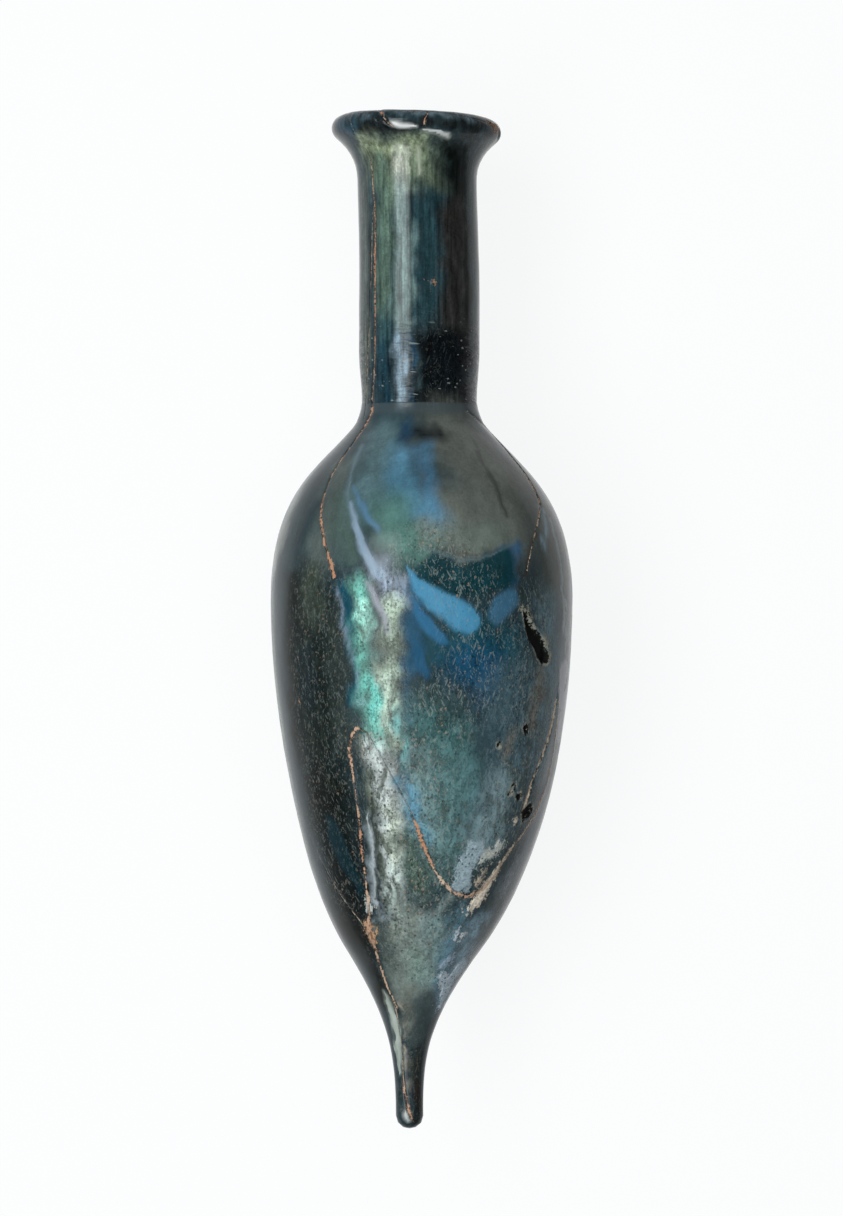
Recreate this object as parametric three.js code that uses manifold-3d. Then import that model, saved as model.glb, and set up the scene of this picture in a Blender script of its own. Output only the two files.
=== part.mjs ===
// An ancient blown-glass perfume flask that lies on its side: a rolled lip, a long neck,
// an egg-shaped belly and a solid drawn-out tail. It is one piece of glass, open at the
// mouth and hollow down to the tail.
//
// Millimetres, +Z up. The axis runs along +Y, with the mouth at +Y. The underside of the
// belly has a small flat spot at Z = 0, which keeps the flask from rolling.

import * as THREE from 'three';
import { mergeVertices } from 'three/addons/utils/BufferGeometryUtils.js';
import Module from 'manifold-3d';

const wasm = await Module();
wasm.setup();

// Lengths along the axis, from the end of the tail to the mouth
const tailLength = 24.8; // the drawn-out end, up to where it opens into the belly
const lowerBellyLength = 48.5;
const shoulderLength = 24.3;
const collarLength = 3.2; // the short cone between the shoulder and the neck
const neckLength = 30.7;
const mouthLength = 8.5; // from the top of the neck to the top of the lip

// Radii outside
const tipRadius = 1.87;
const tailMouthRadius = 9.3; // where the tail opens into the belly
const bellyRadius = 20.9;
const neckRadius = 8.27;
const neckWaist = 0.3; // how much narrower the neck is at its foot
const neckSwell = 0.12; // how much wider it is a little above that
const neckSwellHeight = 7.2; // from the foot of the neck
const collarFlare = 0.92; // how far the collar stands out from the neck's waist
const lipOverhang = 3.45; // how far the lip stands out from the neck
const lipThickness = 3.32;

// Walls and the cavity
const neckWall = 2.0;
const bellyWall = 1.8;
const baseWall = 2.4; // where the belly narrows into the tail
const solidTail = 19.5; // glass from the end of the tail to the bottom of the cavity

// How the wall leans out from the axis where two curves meet, in degrees
const tailMouthLean = 34;
const shoulderLean = -40;
const collarLean = -24;
const lipLean = 50;

// Irregularities of the hand-made piece
const tailShift = -1.72; // the tail's end is drawn to the left of the axis
const tailShiftFrom = 8;
const tailShiftTo = 50;
const neckShift = -0.33; // the neck stands a little to the left
const rimShift = -0.42; // and the mouth a little more
const rimTilt = 1.7; // degrees by which the mouth's right side is lower

// The flat spot under the belly
const flatWidth = 10;

// Chips in the lip: the angle round it from the top side to the right, in degrees, then sizes
const chips = [
  { angle: -25, width: 1.1, depth: 0.5, height: 0.9 },
  { angle: 82, width: 2.4, depth: 0.45, height: 1.3 },
];

const sides = 52; // facets around

const tailMouthHeight = tailLength;
const bellyHeight = tailMouthHeight + lowerBellyLength;
const shoulderHeight = bellyHeight + shoulderLength;
const neckFootHeight = shoulderHeight + collarLength;
const neckTopHeight = neckFootHeight + neckLength;
const lipRound = lipThickness / 2;
const lipHeight = neckTopHeight + mouthLength - lipRound; // of the middle of the rolled lip
const lipCentreRadius = neckRadius + lipOverhang - lipRound;
const waistRadius = neckRadius - neckWaist;
const boreRadius = neckRadius - neckWall;
const flatDepth = bellyRadius - Math.sqrt(bellyRadius ** 2 - (flatWidth / 2) ** 2);

// A place on the profile, with the angle at which the wall leans out there.
function station(radius, height, lean = 0) {
  return { radius, height, lean };
}

function directionOf({ lean }) {
  const angle = THREE.MathUtils.degToRad(lean);
  return new THREE.Vector2(Math.sin(angle), Math.cos(angle));
}

// The same place on the inside of a wall.
function inset(at, wall) {
  const along = directionOf(at);
  return station(at.radius - along.y * wall, at.height + along.x * wall, at.lean);
}

// A curve between two stations that leaves and arrives along the wall. The shares say how
// far it keeps each direction, in parts of the distance between the stations.
function wallCurve(from, to, leaveShare, arriveShare) {
  const start = new THREE.Vector2(from.radius, from.height);
  const end = new THREE.Vector2(to.radius, to.height);
  const way = Math.sign(end.y - start.y) * start.distanceTo(end);
  return new THREE.CubicBezierCurve(
    start,
    start.clone().addScaledVector(directionOf(from), way * leaveShare),
    end.clone().addScaledVector(directionOf(to), -way * arriveShare),
    end,
  );
}

function arc(radius, height, round, fromDegrees, toDegrees) {
  const from = THREE.MathUtils.degToRad(fromDegrees);
  return new THREE.ArcCurve(radius, height, round, from, THREE.MathUtils.degToRad(toDegrees), false);
}

// The place where the rolled lip's circle has a given angle.
function onLip(degrees, lean) {
  const angle = THREE.MathUtils.degToRad(degrees);
  return station(
    lipCentreRadius + lipRound * Math.cos(angle),
    lipHeight + lipRound * Math.sin(angle),
    lean,
  );
}

// The closed profile, from the end of the tail up the outside, over the lip and down the inside.
function profile() {
  const lipInner = 172; // degrees round the lip's circle where the throat begins
  const tip = station(tipRadius, tipRadius);
  const tailMouth = station(tailMouthRadius, tailMouthHeight, tailMouthLean);
  const belly = station(bellyRadius, bellyHeight);
  const shoulder = station(waistRadius + collarFlare, shoulderHeight, shoulderLean);
  const collar = { ...shoulder, lean: collarLean };
  const neckFoot = station(waistRadius, neckFootHeight);
  const swell = station(neckRadius + neckSwell, neckFootHeight + neckSwellHeight);
  const neckTop = station(neckRadius, neckTopHeight);
  const lipUnder = onLip(-lipLean, lipLean);
  const throat = onLip(lipInner);
  const boreTop = station(boreRadius, neckTopHeight);
  const boreFoot = station(boreRadius, neckFootHeight);
  const innerShoulder = inset(shoulder, (neckWall + bellyWall) / 2);
  const innerBelly = inset(belly, bellyWall);
  const innerBase = inset(tailMouth, baseWall);
  const floor = station(0, solidTail, 90);

  const curves = [
    [arc(0, tipRadius, tipRadius, -90, 0), 4],
    [wallCurve(tip, tailMouth, 0.35, 0.5), 8],
    [wallCurve(tailMouth, belly, 0.3, 0.3), 11],
    [wallCurve(belly, shoulder, 0.55, 0.3), 11],
    [wallCurve(collar, neckFoot, 0.3, 0.3), 2],
    [wallCurve(neckFoot, swell, 0.35, 0.35), 3],
    [wallCurve(swell, neckTop, 0.35, 0.35), 3],
    [wallCurve(neckTop, lipUnder, 0.45, 0.3), 5],
    [arc(lipCentreRadius, lipHeight, lipRound, -lipLean, lipInner), 9],
    [wallCurve(throat, boreTop, 0.25, 0.45), 3],
    [wallCurve(boreTop, boreFoot, 0.3, 0.3), 2],
    [wallCurve(boreFoot, innerShoulder, 0.35, 0.3), 2],
    [wallCurve(innerShoulder, innerBelly, 0.3, 0.55), 8],
    [wallCurve(innerBelly, innerBase, 0.3, 0.3), 8],
    [wallCurve(innerBase, floor, 0.4, 0.35), 5],
  ];
  return curves.flatMap(([curve, steps], i) => curve.getPoints(steps).slice(i ? 1 : 0));
}

// How far the hand-made axis lies to the side at a height.
function sideways(height) {
  const { smoothstep } = THREE.MathUtils;
  const tail = 1 - smoothstep(height, tailShiftFrom, tailShiftTo);
  const neck = smoothstep(height, bellyHeight, neckFootHeight);
  const rim = smoothstep(height, (neckFootHeight + neckTopHeight) / 2, lipHeight);
  return tailShift * tail + neckShift * neck + rimShift * rim;
}

// Moves a point of the true round body to where the hand-made one has it.
function handMade(point) {
  const tilt = Math.tan(THREE.MathUtils.degToRad(rimTilt));
  const rim = THREE.MathUtils.smoothstep(point.y, (neckFootHeight + neckTopHeight) / 2, lipHeight);
  return point.set(point.x + sideways(point.y), point.y - point.x * tilt * rim, point.z);
}

function reshape(geometry, move) {
  const position = geometry.getAttribute('position');
  const point = new THREE.Vector3();
  for (let i = 0; i < position.count; i++) {
    point.fromBufferAttribute(position, i);
    position.setXYZ(i, ...move(point).toArray());
  }
  return geometry;
}

function solidOf(geometry) {
  const bare = geometry.index ? geometry.clone() : mergeVertices(geometry);
  bare.deleteAttribute('normal');
  bare.deleteAttribute('uv');
  const merged = mergeVertices(bare, 1e-4);
  const mesh = new wasm.Mesh({
    numProp: 3,
    vertProperties: new Float32Array(merged.getAttribute('position').array),
    triVerts: new Uint32Array(merged.index.array),
  });
  return new wasm.Manifold(mesh);
}

function geometryOf(solid) {
  const { vertProperties, triVerts } = solid.getMesh();
  const geometry = new THREE.BufferGeometry();
  geometry.setAttribute('position', new THREE.BufferAttribute(vertProperties, 3));
  geometry.setIndex(new THREE.BufferAttribute(triVerts, 1));
  geometry.computeVertexNormals();
  return geometry;
}

// What is ground away below the belly's flat spot.
function flatCutter() {
  const size = 2 * bellyRadius;
  const box = new THREE.BoxGeometry(size, size, size);
  box.translate(0, bellyHeight, -(bellyRadius - flatDepth) - size / 2);
  return solidOf(box);
}

// A rough lump that bites a chip out of the lip's outer edge.
function chipCutter({ angle, width, depth, height }) {
  const turn = THREE.MathUtils.degToRad(angle);
  const edge = lipCentreRadius + lipRound * Math.SQRT1_2;
  const lump = new THREE.IcosahedronGeometry(1, 1);
  lump.scale(width / 2, height, depth * 2);
  lump.translate(0, lipHeight + lipRound * Math.SQRT1_2 + depth, edge + depth);
  lump.rotateY(turn);
  return solidOf(reshape(mergeVertices(lump), handMade));
}

function flask() {
  const turned = new THREE.LatheGeometry(profile(), sides);
  let glass = solidOf(reshape(turned, handMade)).subtract(flatCutter());
  for (const chip of chips) glass = glass.subtract(chipCutter(chip));
  const material = new THREE.MeshStandardMaterial({
    color: new THREE.Color(0.05, 0.13, 0.15),
    roughness: 0.2,
    metalness: 0,
  });
  const mesh = new THREE.Mesh(geometryOf(glass), material);
  mesh.name = 'flask';
  mesh.geometry.computeBoundingBox();
  const middle = mesh.geometry.boundingBox.getCenter(new THREE.Vector3());
  mesh.position.set(-middle.x, -middle.y, bellyRadius - flatDepth);
  return mesh;
}

const part = new THREE.Group();
part.add(flask());

export default part;
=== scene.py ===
"""The looks of an ancient blown-glass perfume flask that lies on a pale floor.

The flask is one mesh, turned from the same profile as its solid, with the mended cracks,
pits, chips and crusts as real relief. Its colours are painted on that mesh as strokes, and
one node material adds the fine mottling, specks and gloss.

Lengths are in millimetres until the mesh and the stage are made, which are in metres.
Heights run along the flask's axis from the end of the tail to the mouth.
"""

import math
from types import SimpleNamespace

import bmesh
import bpy
import numpy as np
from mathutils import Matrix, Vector, noise

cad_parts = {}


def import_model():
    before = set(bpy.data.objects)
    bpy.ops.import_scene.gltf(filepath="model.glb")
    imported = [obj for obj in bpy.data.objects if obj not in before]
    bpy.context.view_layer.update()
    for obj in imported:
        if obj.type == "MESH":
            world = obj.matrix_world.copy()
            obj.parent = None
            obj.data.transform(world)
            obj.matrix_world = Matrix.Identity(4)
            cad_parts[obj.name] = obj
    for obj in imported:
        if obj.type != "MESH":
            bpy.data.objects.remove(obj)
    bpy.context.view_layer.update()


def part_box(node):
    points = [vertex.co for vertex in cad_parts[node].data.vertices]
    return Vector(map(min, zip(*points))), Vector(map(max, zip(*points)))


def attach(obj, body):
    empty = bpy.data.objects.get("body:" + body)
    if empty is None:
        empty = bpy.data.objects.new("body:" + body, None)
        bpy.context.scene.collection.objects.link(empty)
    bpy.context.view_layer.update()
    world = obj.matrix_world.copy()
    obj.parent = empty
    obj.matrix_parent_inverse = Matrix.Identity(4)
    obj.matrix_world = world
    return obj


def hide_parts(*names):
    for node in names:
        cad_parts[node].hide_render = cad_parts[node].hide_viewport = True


MM = 0.001

# Lengths along the axis, as in the solid
TAIL_LENGTH = 24.8
LOWER_BELLY_LENGTH = 48.5
SHOULDER_LENGTH = 24.3
COLLAR_LENGTH = 3.2
NECK_LENGTH = 30.7
MOUTH_LENGTH = 8.5

# Radii outside
TIP_RADIUS = 1.87
TAIL_MOUTH_RADIUS = 9.3
BELLY_RADIUS = 20.9
NECK_RADIUS = 8.27
NECK_WAIST = 0.3
NECK_SWELL = 0.12
NECK_SWELL_HEIGHT = 7.2
COLLAR_FLARE = 0.92
LIP_OVERHANG = 3.45
LIP_THICKNESS = 3.32

# Walls and the cavity
NECK_WALL = 2.0
BELLY_WALL = 1.8
BASE_WALL = 2.4
SOLID_TAIL = 19.5

# How the wall leans out from the axis, in degrees
TAIL_MOUTH_LEAN = 34
SHOULDER_LEAN = -40
COLLAR_LEAN = -24
LIP_LEAN = 50
THROAT_ANGLE = 172

# Irregularities of the hand-made piece
TAIL_SHIFT = -1.72
TAIL_SHIFT_FROM = 8
TAIL_SHIFT_TO = 50
NECK_SHIFT = -0.33
RIM_SHIFT = -0.42
RIM_TILT = 1.7
FLAT_WIDTH = 10

BELLY_HEIGHT = TAIL_LENGTH + LOWER_BELLY_LENGTH
SHOULDER_HEIGHT = BELLY_HEIGHT + SHOULDER_LENGTH
NECK_FOOT_HEIGHT = SHOULDER_HEIGHT + COLLAR_LENGTH
NECK_TOP_HEIGHT = NECK_FOOT_HEIGHT + NECK_LENGTH
LIP_ROUND = LIP_THICKNESS / 2
LIP_HEIGHT = NECK_TOP_HEIGHT + MOUTH_LENGTH - LIP_ROUND
LIP_CENTRE_RADIUS = NECK_RADIUS + LIP_OVERHANG - LIP_ROUND
WAIST_RADIUS = NECK_RADIUS - NECK_WAIST
BORE_RADIUS = NECK_RADIUS - NECK_WALL
AXIS_HEIGHT = math.sqrt(BELLY_RADIUS**2 - (FLAT_WIDTH / 2) ** 2)

# The camera, which stands straight above the flask
PHOTO_SIZE = (843, 1216)
PHOTO_MIDDLE = (421.5, 608)
MM_PER_PIXEL = 0.1387  # at the flask's axis
CAMERA_RISE = 532.0  # above the axis
CAMERA_X = -0.03
CAMERA_Y = 2.05
SIGHT_STEPS = 12  # how often a sight line's end on the glass is worked out anew

# The stage
FLOOR_SIZE = 6.0
FLOOR_GLOW = 0.9
FAR_FLOOR_GLOW = 0.3  # beyond the photograph's frame, so that the glass's sides stay dark

# The mesh
COLUMNS = 232
OUTER_ROW = 0.95  # the distance between two rows of the outer skin
LIP_ROW = 0.34
INNER_ROW = 3.6
REFINED_REACH = (0.75, 0.4)  # how near to a flaw the mesh is halved, and halved again
SEAM_ANGLE = 2.6  # radians from the front beyond which the mesh stays plain
CURVE_POINTS = 120
WELD_DISTANCE = 0.002

# Distances to lines on the glass are worked out as far as these, and are FAR beyond them
FAR = 1e3
CRACK_REACH = 4.5
OUTLINE_REACH = 4.0
FLAW_REACH = 2.0

# Steps between the points of smoothed lines, in pixels of the photograph
STROKE_STEP = 40
OUTLINE_STEP = 6
CRACK_STEP = 7
FLAW_STEP = 8

# The relief, in millimetres: heights with their noise's size, and where edges start and end
WAVES = (0.05, 11.0)
GRAIN = (0.018, 1.9)
FILL_EDGE = 0.1
LEDGE_EDGE = (-0.12, 0.12)
LEDGE_FADE = (0.4, 4.4)
PIT_EDGE = (-0.08, 0.32)
CRUST_EDGE = (-0.06, 0.2)
CRUST_RISE = 0.11
CHIP_EDGE = (0.35, 1.0)  # as a share of a chip's half size

# How far the edges of painted colours and of light shapes stray, in millimetres
PAINT_WANDER = 1.1
GLOW_WANDER = 0.4

# The mended cracks: how far the fill stands proud, how much higher the glass lies on the
# line's left than on its right, and the points. A point is a place in the photograph, half the
# width of the fill in millimetres, and how orange the fill is.
CRACKS = dict(
    neck_crack=(-0.09, 0.05, [
        (351, 126, 0.05, 0.3), (356, 138, 0.07, 0.5), (366, 150, 0.09, 0.7), (371, 165, 0.1, 0.8),
        (373, 190, 0.1, 0.7), (375, 215, 0.16, 1.0), (375, 270, 0.2, 1.0), (375, 330, 0.13, 1.0),
        (374, 370, 0.12, 0.8), (372, 400, 0.14, 0.8), (372, 412, 0.24, 1.0), (366, 424, 0.2, 0.9),
        (355, 440, 0.14, 0.8), (345, 454, 0.13, 0.8), (335, 470, 0.13, 0.8), (327, 486, 0.16, 0.9),
        (322, 505, 0.2, 0.9), (321, 522, 0.26, 0.9), (324, 540, 0.26, 0.9), (327, 552, 0.2, 1.0),
        (331, 566, 0.34, 1.0), (334, 577, 0.3, 1.0),
    ]),
    neck_line=(-0.03, 0.0, [
        (373, 205, 0.01, 0.3), (372, 235, 0.05, 0.6), (371, 280, 0.05, 0.7), (370, 292, 0.01, 0.5),
        (369, 330, 0.02, 0.5), (368, 345, 0.05, 0.6), (367, 372, 0.05, 0.6), (366, 400, 0.02, 0.4),
        (364, 418, 0.03, 0.3),
    ]),
    arch_crack=(0.05, -0.1, [
        (559, 690, 0.2, 0.1), (557, 720, 0.34, 0.3), (553, 752, 0.36, 0.5), (548, 780, 0.4, 0.6),
        (541, 800, 0.42, 0.6), (534, 817, 0.42, 0.4), (520, 838, 0.36, 0.2), (507, 855, 0.34, 0.1),
        (497, 871, 0.36, 0.1), (488, 882, 0.42, 0.2), (478, 892, 0.4, 0.4), (466, 896, 0.34, 0.6),
        (454, 892, 0.34, 0.5), (445, 884, 0.28, 0.3), (437, 874, 0.16, 0.3), (431, 862, 0.26, 0.9),
        (425, 848, 0.36, 1.0), (419, 832, 0.3, 1.0), (414, 820, 0.2, 0.9), (409, 808, 0.05, 0.5),
        (394, 780, 0.02, 0.3), (383, 760, 0.02, 0.3), (374, 744, 0.04, 0.5), (366, 732, 0.1, 0.7),
        (357, 728, 0.2, 0.6), (351, 737, 0.27, 0.7), (350, 752, 0.28, 0.7), (352, 768, 0.18, 0.7),
        (355, 790, 0.08, 0.6), (358, 812, 0.1, 0.7), (360, 828, 0.2, 0.9), (361, 846, 0.24, 0.9),
        (363, 862, 0.15, 0.9), (366, 880, 0.1, 0.6), (367, 893, 0.18, 0.6), (369, 908, 0.22, 0.3),
        (369, 926, 0.24, 0.8), (374, 944, 0.22, 0.7), (379, 962, 0.16, 0.6), (385, 980, 0.16, 0.6),
        (389, 990, 0.14, 0.5), (395, 1002, 0.12, 0.3), (399, 1012, 0.08, 0.3),
    ]),
    low_left_line=(-0.04, 0.05, [
        (322, 862, 0.03, 0.0), (335, 886, 0.06, 0.0), (350, 908, 0.06, 0.0), (362, 924, 0.07, 0.1),
        (372, 944, 0.06, 0.1),
    ]),
    right_crack=(-0.08, 0.06, [
        (556, 700, 0.16, 0.1), (552, 722, 0.26, 0.1), (547, 742, 0.28, 0.1), (541, 758, 0.28, 0.1),
        (536, 772, 0.22, 0.1), (531, 784, 0.26, 0.1), (527, 800, 0.2, 0.1), (521, 815, 0.1, 0.2),
    ]),
    right_edge_crack=(-0.07, 0.07, [
        (466, 410, 0.06, 0.1), (478, 420, 0.06, 0.2), (490, 432, 0.06, 0.2), (510, 455, 0.07, 0.2),
        (527, 477, 0.08, 0.3), (537, 496, 0.12, 0.8), (540, 508, 0.12, 0.6), (536, 530, 0.08, 0.3),
        (531, 552, 0.07, 0.2), (527, 572, 0.06, 0.1),
    ]),
    tail_crack=(-0.06, 0.08, [
        (391, 996, 0.04, 0.5), (396, 1010, 0.06, 0.4), (399, 1028, 0.04, 0.3), (402, 1048, 0.04, 0.3),
        (403, 1070, 0.06, 0.5), (404, 1086, 0.12, 0.7), (406, 1098, 0.24, 0.7), (408, 1108, 0.2, 0.8),
        (411, 1117, 0.16, 0.9), (415, 1123, 0.1, 0.9),
    ]),
    lip_crack_left=(-0.1, 0.04, [(350, 116, 0.05, 0.1), (351, 124, 0.07, 0.0), (354, 134, 0.05, 0.1)]),
    lip_crack=(-0.14, 0.06, [
        (379, 109, 0.14, 1.0), (382, 113, 0.16, 1.0), (384, 118, 0.13, 0.7), (388, 123, 0.1, 0.4),
        (393, 127, 0.06, 0.3),
    ]),
    lip_edge=(0.0, 0.0, [
        (352, 116, 0.06, 0.8), (372, 112, 0.1, 1.0), (395, 111, 0.06, 1.0), (425, 111, 0.05, 0.9),
        (455, 114, 0.06, 0.9), (480, 120, 0.08, 1.0), (494, 126, 0.08, 1.0),
    ]),
    side_spot=(0.0, 0.0, [(299, 700, 0.12, 1.0), (300, 704, 0.12, 1.0)]),
    lip_spot=(-0.1, 0.0, [(428, 113, 0.08, 1.0), (425, 118, 0.13, 1.0), (424, 124, 0.06, 0.8)]),
)

# Pits in the skin, as outlines in the photograph with a depth in millimetres
PIT_OUTLINES = dict(
    flake=(0.55, [
        (523, 613), (528, 612), (531, 622), (536, 630), (541, 636), (545, 645), (548, 655), (547, 662),
        (541, 663), (537, 656), (534, 648), (529, 640), (526, 628),
    ]),
    pit_a=(0.35, [(523, 727), (527, 724), (528, 731), (525, 735)]),
    pit_b=(0.3, [(497, 744), (501, 743), (500, 748), (497, 748)]),
    pit_c=(0.3, [(512, 784), (516, 783), (515, 788), (511, 788)]),
    pit_d=(0.3, [(509, 791), (513, 790), (512, 795), (508, 795)]),
    pit_e=(0.35, [(516, 795), (521, 792), (521, 799), (517, 801)]),
    pit_f=(0.45, [(523, 811), (530, 803), (533, 808), (527, 818), (522, 822)]),
    pit_g=(0.3, [(540, 660), (546, 658), (546, 663), (542, 664)]),
)

# Chips out of the lip, as in the solid: degrees round it from the top side, how far back from
# the lip's inner end, half their size along X, Y and Z, and their depth
CHIPS = ((-25, 4.4, (0.7, 0.8, 0.9), 0.3), (82, 5.2, (1.0, 1.2, 1.4), 0.4))

# Crusts that stand on the glass, as outlines in the photograph, with a colour
CRUSTS = dict(
    blue_crust=("#8a9ea6", [
        (468, 842), (482, 840), (485, 849), (478, 862), (472, 873), (471, 884), (459, 892), (451, 888),
        (456, 879), (455, 866), (465, 856),
    ]),
    pale_crust=("#adb4ae", [
        (484, 849), (494, 847), (500, 838), (505, 843), (500, 851), (488, 860), (478, 864), (480, 856),
    ]),
    cream_edge=("#a99f8e", [(474, 885), (480, 876), (486, 868), (484, 877), (478, 887)]),
    cream_crust=("#d6cebe", [
        (467, 913), (470, 904), (478, 894), (486, 883), (494, 871), (500, 863), (499, 871), (492, 884),
        (485, 896), (477, 907),
    ]),
    slate_crust=("#a0afb8", [
        (438, 1011), (439, 998), (442, 986), (438, 977), (443, 970), (449, 975), (458, 964), (465, 957),
        (470, 961), (463, 971), (455, 980), (449, 992), (442, 1004),
    ]),
    slate_crust_2=("#8699a8", [(439, 968), (446, 958), (453, 953), (451, 961), (444, 969)]),
    fleck_a=("#b4bfc6", [(452, 937), (458, 931), (461, 935), (455, 940)]),
    fleck_b=("#bcc5c9", [(459, 935), (465, 933), (462, 940), (458, 941)]),
    fleck_c=("#b9b3a4", [(514, 819), (518, 820), (516, 825), (513, 824)]),
    side_peach=("#ab896a", [(364, 921), (371, 923), (375, 934), (373, 944), (368, 936)]),
    side_white=("#b3bab6", [(367, 897), (371, 901), (372, 912), (368, 909)]),
    neck_spot=("#8d6f58", [(429, 280), (433, 279), (434, 283), (431, 286)]),
    lip_scar=("#9a7a62", [(489, 121), (496, 124), (499, 131), (494, 129)]),
    pit_rim=("#8c8c7c", [
        (521, 607), (526, 610), (530, 611), (531, 616), (526, 615), (527, 622), (523, 619),
    ]),
    pit_rim_2=("#83857a", [
        (541, 640), (545, 635), (549, 642), (549, 652), (545, 648), (541, 653), (538, 649),
    ]),
    pit_rim_3=("#96968a", [(545, 655), (550, 655), (549, 664), (544, 667), (546, 661)]),
)

# Light shapes inside the glass and painted highlights, as outlines in the photograph, with a colour
GLOWS = dict(
    petal_long=("#4689ac", [
        (405, 565), (417, 578), (432, 585), (446, 593), (462, 601), (475, 609), (481, 618), (478, 629),
        (468, 634), (456, 629), (442, 617), (428, 608), (416, 597), (408, 581),
    ]),
    petal_short=("#2b658a", [
        (411, 598), (426, 612), (436, 623), (446, 635), (447, 642), (440, 645), (430, 638), (420, 626),
        (412, 612),
    ]),
    petal_right=("#3a6580", [
        (488, 617), (490, 606), (498, 595), (508, 588), (516, 589), (519, 599), (514, 609), (506, 617),
        (496, 625),
    ]),
    petal_thin=("#20506f", [(412, 640), (419, 645), (426, 662), (430, 678), (424, 680), (415, 664)]),
    streak_curved=("#8299ac", [
        (348, 500), (352, 504), (358, 524), (366, 543), (377, 563), (386, 578), (379, 580), (369, 566),
        (358, 546), (352, 525),
    ]),
    streak_second=("#517895", [
        (353, 486), (359, 498), (369, 514), (379, 529), (377, 533), (366, 520), (357, 504),
    ]),
    mauve_blade=("#8a919c", [
        (365, 581), (370, 583), (377, 593), (384, 606), (388, 620), (388, 634), (384, 628), (379, 612),
        (371, 597),
    ]),
    deep_blade=("#10404f", [(341, 590), (350, 592), (353, 604), (351, 622), (345, 614), (341, 602)]),
    teal_leaf=("#0c272e", [
        (325, 814), (334, 820), (346, 845), (356, 868), (364, 890), (361, 898), (350, 880), (339, 862),
        (328, 838),
    ]),
    tail_streak=("#a3afa7", [
        (384, 991), (390, 1000), (397, 1018), (400, 1042), (402, 1074), (400, 1076), (397, 1056),
        (393, 1034), (388, 1012),
    ]),
    # Painted highlight: a glint of the key lamp at the tail's tip.
    tip_glint=("#bcc5c2", [(405, 1111), (407, 1113), (409, 1121), (407, 1122), (404, 1116)]),
    zone_line=("#586c72", [
        (425, 547), (440, 553), (460, 557), (480, 557), (496, 552), (510, 544), (520, 536), (520, 537),
        (510, 546), (496, 554), (480, 559), (460, 559), (440, 555), (425, 548),
    ]),
    # Painted highlights: glints of the key lamp on the lip's lower edge.
    glint_left=("#f0f5f5", [(391, 121), (404, 123), (415, 125), (415, 127), (404, 127), (392, 124)]),
    glint_right=("#dfe5e3", [(421, 131), (436, 132), (448, 134), (447, 138), (436, 135), (422, 133)]),
    shoulder_scratch=("#3a3e3b", [(485, 465), (492, 474), (500, 492), (509, 517), (506, 517), (496, 494)]),
    streak_line=("#617882", [
        (362, 444), (355, 458), (350, 474), (347, 492), (347, 503), (349, 503), (349, 492), (352, 475),
        (357, 459), (364, 445),
    ]),
    flare_line=("#b4beac", [(417, 146), (420, 156), (421, 175), (420, 176), (418, 158), (416, 147)]),
    edge_line=("#74848a", [
        (549, 520), (556, 545), (561, 580), (564, 620), (565, 655), (566, 655), (566, 620), (563, 580),
        (558, 545), (551, 520),
    ]),
    edge_pale=("#8f929b", [(560, 662), (566, 660), (566, 690), (562, 728), (557, 745), (559, 712)]),
    seam_pale=("#aab6bb", [
        (368, 812), (370, 840), (372, 870), (375, 905), (376, 905), (374, 870), (372, 840), (369, 812),
    ]),
    seam_dark=("#23292b", [
        (372, 800), (374, 840), (376, 870), (379, 910), (381, 910), (378, 870), (376, 840), (373, 800),
    ]),
    shoulder_scratch_2=("#454946", [(474, 440), (480, 450), (486, 466), (483, 466), (477, 452)]),
)
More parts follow.
